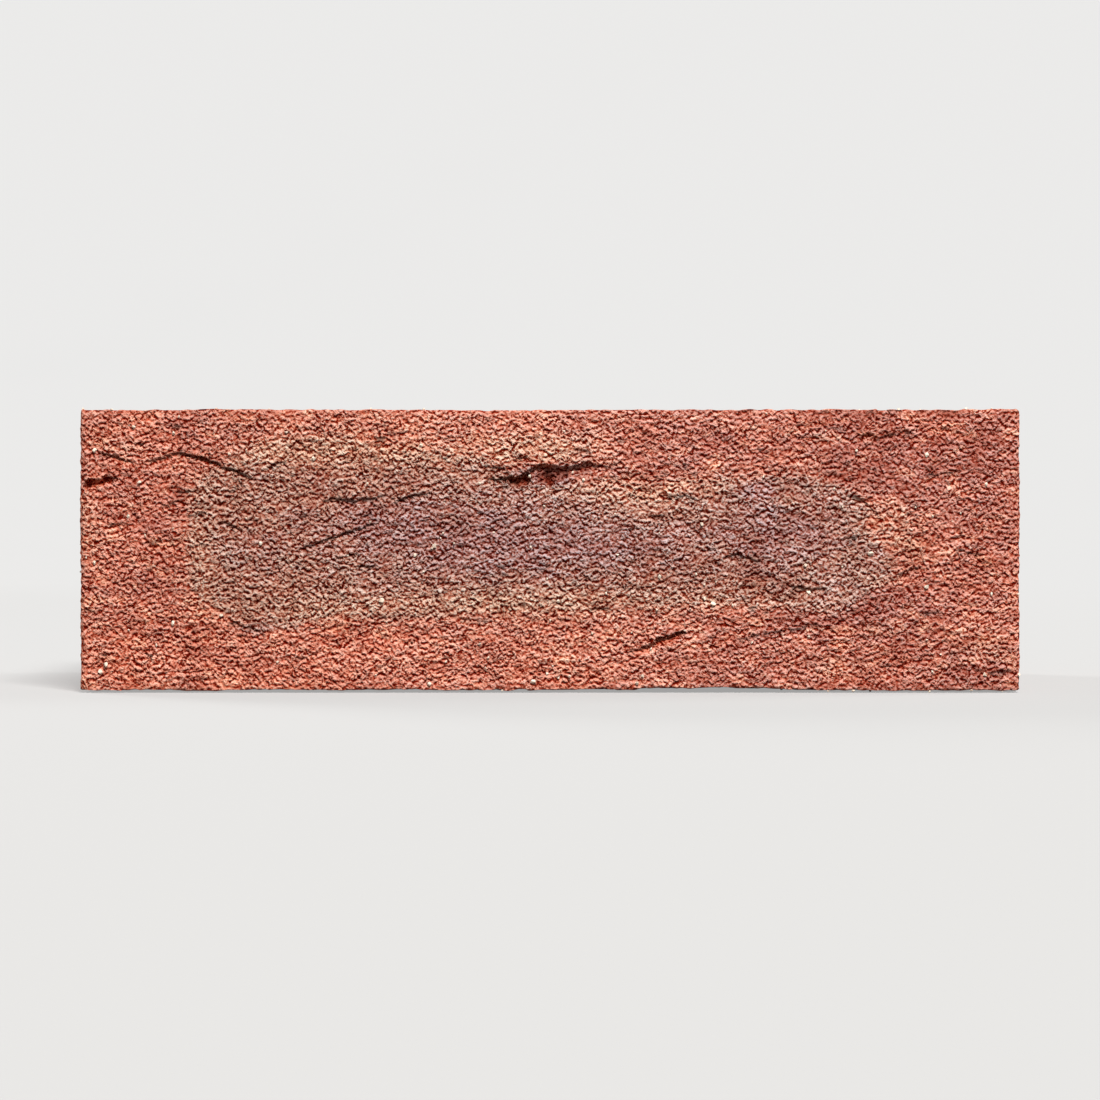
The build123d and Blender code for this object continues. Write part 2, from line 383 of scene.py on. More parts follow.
def side_point(side, along, level, out):
    """A point off an arris, as far out from the side as from the bed."""
    middle = along - SIDE_LENGTH[side] / 2
    away = (LENGTH + WIDTH - SIDE_LENGTH[side]) / 2 + out
    places = {
        "front": (middle, -away),
        "right": (away, middle),
        "back": (-middle, away),
        "left": (-away, -middle),
    }
    return np.array((*places[side], level + (out if level else -out)))


def arris_bites():
    """Centres and radii of small round bites out of the arrises."""
    bites = []
    for level in (0, HEIGHT):
        for side, length in SIDE_LENGTH.items():
            for _ in range(round(length / 13)):
                radius = RANDOM.uniform(1.2, 3.2)
                out = (radius - RANDOM.uniform(0.25, 0.8) * radius ** 0.5) * 0.75
                bites.append((side_point(side, RANDOM.uniform(4, length - 4), level, out), radius))
    for x_side, y_side in ((-1, -1), (-1, 1), (1, -1), (1, 1)):
        for _ in range(4):
            radius = RANDOM.uniform(1.5, 3.0)
            reach = (radius - RANDOM.uniform(0.1, 0.5)) * 0.7 - 0.6
            x = x_side * (LENGTH / 2 + reach)
            y = y_side * (WIDTH / 2 + reach)
            bites.append((np.array((x, y, RANDOM.uniform(5, HEIGHT - 5))), radius))
    return bites


def take_bites(points, bites):
    """Pushes points inside a bite out to its rough wall."""
    rough = 0.22 * smooth_noise(points, (1.3, 1.3, 1.3), 22)
    for centre, radius in bites:
        away = points - centre
        distance = np.linalg.norm(away, axis=1)
        wall = radius + rough
        inside = distance < wall
        points[inside] = centre + away[inside] * (wall[inside] / distance[inside])[:, None]
    return points


# How far the photograph's lower arris rises, how far from the left end, and over what length
ARRIS_RISE = 0.6
ARRIS_RISE_ALONG = 150.0
ARRIS_RISE_LENGTH = 13.0


def raise_lower_arris(points):
    """Lifts the front lower arris where the photograph shows it higher."""
    along = points[:, 0] + LENGTH / 2
    rise = np.exp(-(((along - ARRIS_RISE_ALONG) / ARRIS_RISE_LENGTH) ** 2))
    near_front = smooth_step(14, 0, points[:, 1] + WIDTH / 2)
    near_bottom = smooth_step(9, 0, points[:, 2])
    points[:, 2] += ARRIS_RISE * rise * near_front * near_bottom
    return points


# Building the mesh of the brick


def held_in(relief):
    """Relief with its peaks pressed back, so that none stands out past the CAD."""
    return np.where(relief > 0, ALLOWANCE * np.tanh(relief / ALLOWANCE), relief)


def calm_edges(points, ways):
    """The share of the relief that is left near the arrises and the corners."""
    corners = np.array([*SIDE_START.values(), GIRTH])
    to_corner = np.min(np.abs(ways[:, None] - corners), axis=1)
    return 0.4 + 0.6 * smooth_step(1, 6, to_corner) * smooth_step(0, 4, from_beds(points))


def with_sockets(base, relief):
    """The relief with a shallow pit for each of the front's larger grains."""
    on_front = base[:, 1] < -WIDTH / 2 + 0.01
    for along, below, size in PHOTOGRAPHED_GRAINS:
        away = np.hypot(base[:, 0] + LENGTH / 2 - along, HEIGHT - base[:, 2] - below)
        share = smooth_step(1.15 * size, 0.4 * size, away) * on_front
        relief = relief * (1 - share) + (SOCKET_RELIEF - 0.1 * size) * share
    return relief


def skin():
    """The skin's points row by row, their relief, their tears' depths and their places before relief."""
    places, outwards, ways = outline()
    heights, insets, tilts = profile(ways)
    depths = np.zeros_like(heights)
    photographed = [tear("front", route, index in FLAPS) for index, route in enumerate(PHOTOGRAPHED_TEARS)]
    for cut in chance_tears() + larger_tears() + photographed:
        cut_tear(cut, ways, heights, depths)
    base = np.zeros((*heights.shape, 3))
    base[..., :2] = places - outwards * insets[..., None]
    base[..., 2] = heights
    directions = np.zeros_like(base)
    directions[..., :2] = outwards * np.sin(tilts)[:, None, None]
    directions[..., 2] = -np.cos(tilts)[:, None]
    base = base.reshape(-1, 3)
    ways = np.tile(ways, len(heights))
    facing_out = np.repeat(np.sin(tilts) ** 2, heights.shape[1])

    torn = rustic_share(ways)
    swell = 0.30 * smooth_noise(base, (38, 38, 22), 1)
    side_relief = swell + torn * torn_height(base) + (1 - torn) * die_skin_height(base)
    side_relief *= calm_edges(base, ways)
    relief = facing_out * side_relief + (1 - facing_out) * bed_height(base)
    relief = held_in(with_sockets(base, relief - depths.ravel()))
    points = base + directions.reshape(-1, 3) * (relief - ALLOWANCE)[:, None]
    points[:, 2] -= LEAN * torn * facing_out ** 4 * side_relief
    return points, relief, depths, base


def mouth_wear(circle, seed):
    """How far a perforation's worn mouth is beyond its wall."""
    places = np.insert(circle * 9, 2, 3.0 * seed, axis=1)
    slow = smooth_noise(places, (4, 4, 4), 31)
    quick = smooth_noise(places, (1.2, 1.2, 1.2), 32)
    return np.clip(0.65 + 1.0 * slow + 0.7 * quick, 0.12, 1.85)


def sunk_into_bed(points, level):
    """Points moved in from a bed's level by the bed's relief, and that relief."""
    relief = held_in(bed_height(points))
    points[:, 2] += (-1 if level else 1) * (ALLOWANCE - relief)
    return points, relief


def bore_wall(x, y, radius, number):
    """The points of one perforation's wall, in rows from the lower bed to the upper one."""
    turns = 2 * math.pi * np.arange(BORE_COLUMNS) / BORE_COLUMNS
    circle = np.stack([np.cos(turns), np.sin(turns)], axis=1)
    rows = []
    for level in (0.0, 1.2, *np.linspace(3.5, HEIGHT - 3.5, BORE_ROWS - 3), HEIGHT - 1.2, HEIGHT):
        wall = np.zeros((BORE_COLUMNS, 3))
        wall[:, :2] = np.array((x, y)) + circle * radius
        wall[:, 2] = level
        if level in (0.0, HEIGHT):
            wall[:, :2] += circle * mouth_wear(circle, number + (7 if level else 1))[:, None]
            wall, _ = sunk_into_bed(wall, level)
        else:
            lines = 0.16 + 0.16 * smooth_noise(wall, (1.6, 1.6, 90), 33)
            torn = 0.12 * smooth_noise(wall, (4, 4, 5), 34)
            wall[:, :2] += circle * np.maximum(lines + torn, 0)[:, None]
        rows.append(wall)
    return np.array(rows)


# How far a bed's inner points keep from its arrises and its perforations
BED_MARGIN_X = 1.9
BED_MARGIN_Y = 2.2
BORE_MARGIN = 2.1


def bed_points():
    """Points spread over a bed, clear of its rim and its perforations."""
    points = []
    half_x = LENGTH / 2 - BED_MARGIN_X
    half_y = WIDTH / 2 - BED_MARGIN_Y
    across = round((LENGTH - 3) / BED_PITCH_ACROSS)
    along = round((WIDTH - 4) / BED_PITCH_ALONG)
    for column in range(across + 1):
        for row in range(along + 1):
            x_share = (column + RANDOM.uniform(-0.35, 0.35)) / across
            y_share = (row + 0.5 * (column % 2) + RANDOM.uniform(-0.3, 0.3)) / (along + 0.5)
            x = half_x * (2 * x_share - 1)
            y = half_y * (2 * y_share - 1)
            clear = all(math.hypot(x - bore[0], y - bore[1]) > bore[2] + BORE_MARGIN for bore in BORES)
            if clear and abs(x) < half_x and abs(y) < half_y:
                points.append((x, y))
    return np.array(points)


def triangulate_bed(rings, inner):
    """Triangles over a bed, as numbers of its points: the rim's, the holes' and the inner ones.

    The bed is squeezed along the wire's way meanwhile, so that they lie along the grooves.
    """
    places = np.concatenate([*rings, inner])
    squeezed = [Vector((x, y * BED_PITCH_ACROSS / BED_PITCH_ALONG)) for x, y in places]
    ends = np.cumsum([0] + [len(ring) for ring in rings]).tolist()
    loops = [list(range(start, end)) for start, end in zip(ends, ends[1:])]
    _, _, faces, originals, _, inside = geometry.delaunay_2d_cdt(squeezed, [], loops, 1, 1e-7)
    return [
        [originals[corner][0] for corner in face]
        for face, loops_round_it in zip(faces, inside)
        if list(loops_round_it) == [0]
    ]


def ring_faces(grid, inward=False):
    """Faces between rows of point numbers that run right round."""
    beside = np.roll(grid, -1, axis=1)
    others = [beside[:-1], beside[1:], grid[1:]]
    corners = [grid[:-1], *(reversed(others) if inward else others)]
    return np.stack(corners, axis=-1).reshape(-1, 4).tolist()


def brick_mesh():
    """The brick's points and faces, and each point's relief and depth in a tear."""
    skin_points, relief, depths, base = skin()
    grids = [np.arange(depths.size).reshape(depths.shape)]
    points = [skin_points]
    plan = [base[:, :2]]
    reliefs = [relief]
    faces = ring_faces(grids[0])
    for number, bore in enumerate(BORES):
        wall = bore_wall(*bore, number).reshape(-1, 3)
        grids.append(grids[-1].max() + 1 + np.arange(len(wall)).reshape(-1, BORE_COLUMNS))
        faces += ring_faces(grids[-1], inward=True)
        points.append(wall)
        plan.append(wall[:, :2])
        reliefs.append(np.zeros(len(wall)))
    total = grids[-1].max() + 1
    plan = np.concatenate(plan)

    for level, end in ((0.0, 0), (HEIGHT, -1)):
        inner = bed_points()
        rings = [grid[end] for grid in grids]
        numbers = np.concatenate([*rings, total + np.arange(len(inner))])
        for triangle in triangulate_bed([plan[ring] for ring in rings], inner):
            corners = numbers[triangle].tolist()
            faces.append(corners if level else corners[::-1])
        placed, bed_relief = sunk_into_bed(np.insert(inner, 2, level, axis=1), level)
        points.append(placed)
        reliefs.append(bed_relief)
        total += len(inner)

    points = take_bites(knock_corners(np.concatenate(points)), arris_bites())
    tear_depths = np.zeros(len(points))
    tear_depths[:depths.size] = depths.ravel()
    return raise_lower_arris(points), faces, np.concatenate(reliefs), tear_depths


# Where the kiln coloured the clay


# Outline of each side's kiln patch, as distances from its left end and below the upper bed, or on the
# beds from the back. The front's follows the photograph
KILN_OUTLINES = {
    "front": [
        (25.6, 41.5), (25.4, 30), (25.8, 19), (32, 13.5), (37, 10.5), (42, 8.6), (48, 6.8), (55, 6.2),
        (62, 6.8), (69, 9), (80, 11), (92, 12), (99, 14.5), (106, 17), (120, 18.5), (130, 20.5),
        (138, 19.5), (146, 16.8), (158, 15.6), (169, 16), (176, 18.7), (180, 22.8), (179, 27.7),
        (182, 31), (185.2, 35), (185, 38.8), (176, 44.3), (169, 46.2), (155, 45.7), (141, 45), (107, 46),
        (75, 47.6), (60, 47.8), (53, 49), (46, 50.5), (38, 49.5), (31, 46),
    ],
    "right": [
        (16, 31), (20, 19), (34, 13), (56, 13), (76, 15), (86, 24), (87, 36), (80, 46), (60, 49),
        (38, 48), (22, 42),
    ],
    "back": [
        (18, 32), (24, 18), (46, 13), (80, 15), (104, 19), (130, 16), (165, 15), (190, 20), (197, 31),
        (190, 43), (160, 48), (120, 46), (92, 50), (60, 54), (32, 50), (20, 42),
    ],
    "left": [
        (14, 34), (18, 20), (34, 13), (58, 14), (80, 17), (91, 27), (90, 38), (78, 44), (62, 50),
        (40, 52), (20, 46),
    ],
    "bed": [
        (14, 50), (20, 26), (50, 17), (100, 15), (150, 18), (192, 22), (202, 48), (196, 74), (160, 84),
        (100, 87), (48, 84), (22, 74),
    ],
}
# How wide the patch's edge is, how much it sways, and how much of the patch's colour shows
KILN = {
    "front": (1.7, 0.25, 1.0),
    "right": (5.0, 0.7, 0.65),
    "back": (4.5, 0.7, 0.8),
    "left": (5.0, 0.7, 0.6),
    "bed": (9.0, 1.0, 0.5),
}

# Soft spots of colour: their middle, measured in the same way, their reach both ways and strength
PURPLE_SPOTS = {
    "front": [
        (44, 31, 12, 6, 0.45), (68, 26, 11, 6, 0.8), (92, 31, 24, 9, 1), (122, 31, 20, 7, 0.75),
        (160, 28, 15, 10, 0.95), (158, 17, 12, 3, 0.4), (110, 21, 14, 3, 0.3),
    ],
    "right": [(52, 31, 24, 9, 0.7)],
    "back": [(60, 34, 26, 11, 0.9), (140, 30, 34, 9, 0.8)],
    "left": [(50, 32, 22, 10, 0.8)],
    "bed": [(60, 50, 30, 16, 0.4), (150, 54, 34, 14, 0.4)],
}
BUFF_SPOTS = {
    "front": [
        (104, 8.8, 16, 3.4, 1.2), (107, 10.5, 8, 2.6, 0.8), (75, 4, 17, 3, 0.3), (52, 10.5, 14, 3.5, 0.8),
        (72, 10.5, 14, 3, 0.6), (96, 44, 34, 3.2, 0.85), (186, 27, 5, 5, 0.9), (52, 46, 16, 3, 0.35),
        (108, 56, 26, 6, 0.2), (130, 18.5, 16, 2.6, 0.7), (29, 34, 3, 12, 0.3), (130, 23, 20, 5, 0.25),
        (172, 59, 8, 3, 0.3), (192, 33, 4, 2.6, 0.6), (204, 54, 5, 3, 0.5), (145, 44, 2, 2, 0.6),
        (166, 36.5, 1.6, 3, 0.6), (8, 8, 5, 3, 0.35), (3, 28, 2.5, 8, 0.5), (37, 4, 5, 2, 0.3),
        (120, 3.6, 5, 2, 0.3), (168.5, 7.5, 3, 2, 0.45), (162, 21.5, 2.4, 1.6, 0.8), (209, 55, 3, 3, 0.5),
        (173, 59, 5, 2, 0.35), (191, 30.5, 3.4, 1.6, 0.45), (183, 50, 4, 1.6, 0.35),
    ],
    "right": [(24, 14, 14, 4, 0.5), (84, 42, 9, 8, 0.5), (52, 50, 22, 3, 0.4)],
    "back": [(60, 14, 26, 3, 0.8), (140, 48, 40, 3, 0.7), (19, 34, 4, 12, 0.5), (196, 30, 4, 12, 0.5)],
    "left": [(48, 52, 24, 3, 0.6), (20, 20, 8, 8, 0.4), (84, 18, 10, 4, 0.5)],
    "bed": [(30, 20, 24, 8, 0.3), (190, 76, 14, 12, 0.3), (107, 90, 60, 6, 0.3)],
}
TONE_SPOTS = {
    "front": [
        (12, 40, 14, 20, 0.1), (12, 4, 16, 5, 0.7), (8, 57, 16, 7, 0.6), (56, 58, 34, 8, 1.1),
        (108, 58, 30, 7, 0.9), (75, 4, 28, 5, 0.7), (195, 10, 24, 12, -0.7), (185, 47, 16, 5, -0.9),
        (205, 60, 14, 6, -0.5), (140, 8, 22, 6, -0.6), (196, 30, 15, 9, -0.3), (150, 55, 22, 6, -0.2),
        (8, 26, 10, 5, -0.3), (30, 4, 8, 4, -0.3), (182, 44, 8, 3, -1.4), (166, 49, 8, 2, -0.9),
        (196, 12, 16, 6, -0.9), (176, 12, 10, 4, -0.8), (142, 7, 7, 3, -0.8), (201, 61, 4, 2, -1.2),
        (97, 5, 8, 2, -0.5), (12, 30, 8, 4, -0.4), (200, 17, 13, 9, -0.35), (105, 3, 20, 4, 0.3),
        (20, 60, 20, 5, 0.35), (97, 60, 12, 5, 0.35), (150, 59, 26, 5, -0.35),
    ],
    "right": [(15, 30, 14, 30, -0.4), (86, 30, 14, 26, 0.4), (50, 60, 30, 6, -0.3)],
    "back": [(20, 30, 20, 30, -0.3), (107, 60, 70, 7, 0.4), (195, 30, 20, 30, 0.3)],
    "left": [(15, 30, 14, 30, 0.3), (88, 30, 12, 26, -0.4)],
    "bed": [(40, 80, 40, 20, 0.3), (180, 24, 34, 20, -0.4)],
}
# Where soot darkened the clay outside the patch. At the gouge and some tears the spots are also painted
# shade in the hollow
SOOT_AND_SHADE_SPOTS = {
    "front": [
        (107, 15.2, 6.5, 2, 1.3), (115.5, 13.8, 4, 1.3, 0.7), (39.5, 50.6, 4.5, 1.3, 0.8),
        (138, 19.5, 4, 2, 0.4), (176, 45.5, 5, 1.6, 0.3), (183, 34, 3, 3, 0.35), (153, 19, 5, 2.2, 0.3),
        (171, 47, 3, 1.2, 0.45), (183, 43, 5, 1.8, 0.3), (202, 61.5, 3, 1.2, 0.45),
    ],
}


def kiln_distance(side, along, below):
    """Distance outside the outline of a side's kiln patch, less than 0 inside it."""
    corners = np.array(KILN_OUTLINES[side], float)
    distance = np.full(along.shape, np.inf)
    inside = np.zeros(along.shape, bool)
    for start, end in zip(corners, np.roll(corners, -1, axis=0)):
        edge_x, edge_y = end - start
        x = along - start[0]
        y = below - start[1]
        share = np.clip((x * edge_x + y * edge_y) / (edge_x ** 2 + edge_y ** 2), 0, 1)
        distance = np.minimum(distance, np.hypot(x - share * edge_x, y - share * edge_y))
        if edge_y:
            inside ^= ((below < start[1]) != (below < end[1])) & (x < y * edge_x / edge_y)
    return np.where(inside, -distance, distance)


def spots(table, side, along, below):
    """Sum of a side's soft spots."""
    total = np.zeros_like(along)
    for middle_along, middle_below, reach_along, reach_below, strength in table.get(side, []):
        far = ((along - middle_along) / reach_along) ** 2 + ((below - middle_below) / reach_below) ** 2
        total += strength * np.exp(-far)
    return total


def sides_of(points):
    """Which side each point is on, and its distances from each side's left end and below its top."""
    x, y, z = points.T
    gaps = {
        "front": y + WIDTH / 2,
        "right": LENGTH / 2 - x,
        "back": WIDTH / 2 - y,
        "left": x + LENGTH / 2,
        "bed": from_beds(points),
    }
    nearest = np.argmin(np.abs(list(gaps.values())), axis=0)
    alongs = {side: gaps[start] for side, start in STARTS_AT.items()}
    belows = {side: gaps["back"] if side == "bed" else HEIGHT - z for side in gaps}
    return np.array(list(gaps))[nearest], alongs, belows


def colour_values(points):
    """What the kiln did at each point: patch, buff fringe, purple core and tone of the red. Its soot spots
    also paint shade into the gouge and some tears.
    """
    sides, alongs, belows = sides_of(points)
    warp = 3.2 * smooth_noise(points, (15, 15, 12), 41) + 1.6 * smooth_noise(points, (6, 6, 4), 42)
    drift = 2.5 * smooth_noise(points, (11, 11, 8), 43)
    patch, buff, purple, tone = np.zeros((4, len(points)))
    for side, (edge, sway, strength) in KILN.items():
        here = sides == side
        along = alongs[side][here]
        below = belows[side][here]
        drifted = along + drift[here]
        distance = kiln_distance(side, along, below) + sway * warp[here]
        # Soot, and painted shade in the gouge and some tears
        soot_and_shade = spots(SOOT_AND_SHADE_SPOTS, side, along, below)
        rim = np.exp(-((distance / (1.2 * edge + 2)) ** 2))
        spotted = spots(BUFF_SPOTS, side, drifted, below)
        patch[here] = np.clip(strength * smooth_step(edge, -edge, distance) + soot_and_shade, 0, 1)
        buff[here] = np.clip(0.16 * rim + spotted * (0.7 + 0.5 * rim) - soot_and_shade, 0, 1)
        purple[here] = np.clip(spots(PURPLE_SPOTS, side, drifted, below) + soot_and_shade, 0, 1.2)
        tone[here] = spots(TONE_SPOTS, side, drifted, below)
    return {"patch": patch, "buff": buff, "purple": purple, "tone": tone}


def from_beds(points):
    """Distance of each point from the nearer bed."""
    return np.minimum(points[:, 2], HEIGHT - points[:, 2])


def wall_share(points):
    """1 on the walls of the perforations and 0 elsewhere."""
    share = np.zeros(len(points))
    for x, y, radius in BORES:
        near = np.hypot(points[:, 0] - x, points[:, 1] - y) < radius + 1.0
        share = np.maximum(share, near * smooth_step(0.5, 3.0, from_beds(points)))
    return share


def finish_values(points):
    """Where the clay was cut by the wire or drawn by the die, where it was fired redder, and where it is
    lighter and darker in soft spots.
    """
    x, y, z = points.T
    end_gap = LENGTH / 2 - np.abs(x)
    rim_gap = np.minimum(end_gap, WIDTH / 2 - np.abs(y))
    right_end = smooth_step(112, 138, x + LENGTH / 2)
    foot = 0.8 * smooth_step(19, 12, z) * smooth_step(16, 34, x + LENGTH / 2)
    front = 0.3 + 0.7 * np.maximum(right_end, foot)
    return {
        "bed": smooth_step(2.4, 1.4, from_beds(points)) * smooth_step(0.3, 1.6, rim_gap),
        "wall": wall_share(points),
        "die_skin": smooth_step(2.5, 1.0, WIDTH / 2 - y) * smooth_step(0, 7, end_gap),
        "ruddy": np.maximum(smooth_step(-20, -62, x), 0.4 * smooth_step(72, 86, x)),
        "uneven": np.where(y < 2.0 - WIDTH / 2, front, 0.7),
    }


def add_object(name, data):
    """An object in the scene with that mesh, lamp or camera."""
    made = bpy.data.objects.new(name, data)
    bpy.context.scene.collection.objects.link(made)
    return made


def make_piece(name, points, faces, values):
    """A smooth mesh object, in metres, with a float attribute for each entry of values."""
    mesh = bpy.data.meshes.new(name)
    mesh.from_pydata((points * MM).tolist(), [], faces)
    mesh.shade_smooth()
    for label, value in values.items():
        attribute = mesh.attributes.new(label, "FLOAT", "POINT")
        attribute.data.foreach_set("value", np.asarray(value, np.float32))
    mesh.update()
    return add_object(name, mesh)


def build_brick():
    """The brick's clay, with what its material reads."""
    points, faces, relief, tear_depths = brick_mesh()
    values = {"relief": relief, "tear": smooth_step(0.05, 0.9, tear_depths)}
    values.update(**colour_values(points), **finish_values(points))
    return make_piece("clay_brick", points, faces, values)


# Pale grit in the clay


# Grains that the photograph shows: distances from the front's left end and below its top, and sizes
PHOTOGRAPHED_GRAINS = [
    (4.1, 10, 1.6), (81, 31.8, 1.7), (69.4, 44.2, 1.4), (144.6, 44.6, 1.5), (142.6, 43.6, 1.1),
    (193.1, 41, 1.4), (208, 42.3, 1), (32.8, 47.2, 1.4), (6.6, 58.4, 1.5), (5.2, 60, 1.2),
    (41.8, 31, 1.3), (76.6, 33.6, 1), (22, 5.8, 1.2), (12.6, 4.6, 1.2), (127.2, 62.6, 1.3),
    (103.4, 62.4, 1.3), (80.2, 62.8, 1.4), (21.6, 49.4, 1.3), (4, 35.5, 1.3), (106, 22.6, 1),
    (103.3, 15.8, 1), (112.5, 15.1, 0.9), (206.4, 60.6, 1.1), (165.4, 36, 1.2), (180.6, 33.2, 1.5),
    (166.4, 42, 1), (57.2, 36.6, 0.9), (93.6, 57, 0.9),
]
# How many more grains show on each side and on both beds
GRAIN_COUNTS = {"front": 80, "right": 36, "back": 44, "left": 36, "bed": 90}
GRAIN_CORNERS = 16
# How far a grain stands out, as a share of its size
GRAIN_RISE = 0.24
# Relief at the bottom of a pit that a larger grain lies in
SOCKET_RELIEF = -0.2


def kept_inside(points):
    """Moves a grain in where it would stand out past the CAD brick."""
    high = np.array((LENGTH / 2, WIDTH / 2, HEIGHT))
    low = np.array((-LENGTH / 2, -WIDTH / 2, 0))
    points = points - np.maximum(points.max(axis=0) - high, 0)
    return points + np.maximum(low - points.min(axis=0), 0)


def grain(centre, normal, size):
    """Points of one angular grain, half sunk in the clay."""
    points = []
    squash = RANDOM.uniform(0.7, 1.15, 3)
    for _ in range(GRAIN_CORNERS):
        way = RANDOM.normal(size=3)
        points.append(way / np.linalg.norm(way) * squash * size / 2 * RANDOM.uniform(0.85, 1.0))
    return kept_inside(np.array(points) + centre + normal * size * GRAIN_RISE)


def chosen_grains(places):
    """The number of the brick's point that each grain lies on, and the grain's size."""
    sides, alongs, belows = sides_of(places)
    chosen = []
    for along, below, size in PHOTOGRAPHED_GRAINS:
        miss = np.hypot(alongs["front"] - along, belows["front"] - below) + 1000 * (sides != "front")
        chosen.append((int(np.argmin(miss)), size))
    clear = wall_share(places) < 0.01
    for side, count in GRAIN_COUNTS.items():
        for number in RANDOM.choice(np.nonzero((sides == side) & clear)[0], count, replace=False):
            chosen.append((int(number), RANDOM.uniform(0.45, 0.9) + 0.5 * RANDOM.uniform() ** 4))
    return chosen


def build_grit(brick):
    """The pale grains, as one piece of many small closed hulls."""
    places = np.array([vertex.co for vertex in brick.data.vertices]) / MM
    normals = np.array([vertex.normal for vertex in brick.data.vertices])
    shape = bmesh.new()
    for number, size in chosen_grains(places):
        corners = [shape.verts.new(point * MM) for point in grain(places[number], normals[number], size)]
        hull = bmesh.ops.convex_hull(shape, input=corners)
        unused = [part for part in hull["geom_interior"] if isinstance(part, bmesh.types.BMVert)]
        bmesh.ops.delete(shape, geom=unused, context="VERTS")
    bmesh.ops.recalc_face_normals(shape, faces=shape.faces)
    mesh = bpy.data.meshes.new("pale_grit")
    shape.to_mesh(mesh)
    shape.free()
    return add_object("pale_grit", mesh)


# Materials


class Value:
    """A number or a colour that nodes work out. Arithmetic on it adds math nodes."""

    def __init__(self, make, socket):
        self.make = make
        self.socket = socket

    def __add__(self, other):
        return self.make.math("ADD", self, other)

    def __sub__(self, other):
        return self.make.math("SUBTRACT", self, other)

    def __mul__(self, other):
        return self.make.math("MULTIPLY", self, other)

    def __pow__(self, other):
        return self.make.math("POWER", self, other)


class Material:
    """Builds a node material. Its methods return what their nodes work out."""

    def __init__(self, name):
        self.material = bpy.data.materials.new(name)
        self.material.use_nodes = True
        self.tree = self.material.node_tree
        self.tree.nodes.clear()

    def node(self, kind, inputs, output=0, **settings):
        """One output of a new node with those settings and inputs."""
        made = self.tree.nodes.new("ShaderNode" + kind)
        for setting, value in settings.items():
            setattr(made, setting, value)
        for key, value in inputs.items():
            if isinstance(value, Value):
                self.tree.links.new(value.socket, made.inputs[key])
            else:
                made.inputs[key].default_value = value
        return Value(self, made.outputs[output]) if made.outputs else None

    def finish(self, surface):
        self.node("OutputMaterial", {"Surface": surface})
        return self.material

    def attribute(self, name):
        """A value stored at the mesh's points."""
        return self.node("Attribute", {}, "Fac", attribute_name=name)

    def math(self, operation, *values):
        return self.node("Math", dict(enumerate(values)), operation=operation)

    def vector(self, operation, first, second):
        return self.node("VectorMath", {0: first, 1: second}, operation=operation)

    def remap(self, value, low, high, new_low=0.0, new_high=1.0, kind="LINEAR"):
        """Maps a range onto another, and clamps what is outside it."""
        inputs = {0: value, 1: low, 2: high, 3: new_low, 4: new_high}
        return self.node("MapRange", inputs, interpolation_type=kind)

    def mix(self, factor, first, second):
        return self.node("Mix", {0: factor, 2: first, 3: second})

    def blend(self, factor, first, second, kind="MIX"):
        return self.node("Mix", {0: factor, 6: first, 7: second}, 2, data_type="RGBA", blend_type=kind)

    def tint(self, base, colour, factor=1.0):
        """A colour multiplied by another, or by a number."""
        return self.blend(factor, base, colour, "MULTIPLY")

    def place(self):
        """Place in the frame, in millimetres."""
        metres = self.node("TexCoord", {}, "Object")
        return self.node("VectorMath", {0: metres, 3: 1 / MM}, operation="SCALE")

    def turned(self, place):
        """Place turned askew, so that a noise's grid doesn't lie along the edges."""
        inputs = {"Vector": place, "Rotation": (0.5, 0.62, 0.4)}
        return self.node("VectorRotate", inputs, rotation_type="EULER_XYZ")

    def shifted(self, place, x, z):
        return self.vector("ADD", place, self.node("CombineXYZ", {"X": x, "Z": z}))

    def noise(self, place, sizes, detail=1.0, roughness=0.5):
        """Noise from 0 to 1 with that feature size along x, y and z."""
        scaled = self.vector("DIVIDE", place, sizes)
        inputs = {"Vector": scaled, "Scale": 1.0, "Detail": detail, "Roughness": roughness}
        return self.node("TexNoise", inputs)

    def cells(self, place, sizes):
        """Distance from the nearest of many chance points, as a share of sizes."""
        scaled = self.vector("DIVIDE", place, sizes)
        return self.node("TexVoronoi", {"Vector": scaled, "Scale": 1.0}, "Distance")

    def specks(self, place, spacing, radius, seed):
        """1 in small round specks, at chance places about that spacing apart."""
        away = self.cells(self.vector("ADD", place, (seed,) * 3), (spacing,) * 3) * spacing
        return self.remap(away, radius, radius * 0.6, kind="SMOOTHSTEP")

    def bumped_surface(self, look, height, strength, distance):
        bump = self.node("Bump", {"Strength": strength, "Distance": distance, "Height": height})
        return self.finish(self.node("BsdfPrincipled", {**look, "Normal": bump}))


def rgb(red, green, blue):
    """A colour from linear values."""
    return (red, green, blue, 1.0)


DEEP_RED = rgb(0.445, 0.166, 0.129)
BRIGHT_RED = rgb(0.70, 0.267, 0.185)
ORANGE = rgb(0.73, 0.35, 0.212)
PATCH_BROWN = rgb(0.46, 0.231, 0.174)
PATCH_PURPLE = rgb(0.40, 0.204, 0.182)
# Tint of the brick's two ends, which the kiln fired a little redder
RUDDY = rgb(1.0, 0.95, 0.915)
BUFF = rgb(0.63, 0.34, 0.232)
DARK_FLECK = rgb(0.10, 0.045, 0.038)
PALE_FLECK = rgb(0.80, 0.62, 0.50)
GRIT_PALE = rgb(0.80, 0.70, 0.57)
GRIT_DARK = rgb(0.66, 0.48, 0.36)
GRIT_DUST = rgb(0.50, 0.30, 0.22)
# Painted shade: how much darker the smooth clay of the beds and the perforation walls is made beside the
# torn clay, against the stronger lamp light on the top bed
SMOOTH_SHADE = 0.73
# How much lighter or darker the clay is in soft spots of some millimetres
UNEVEN = 0.18

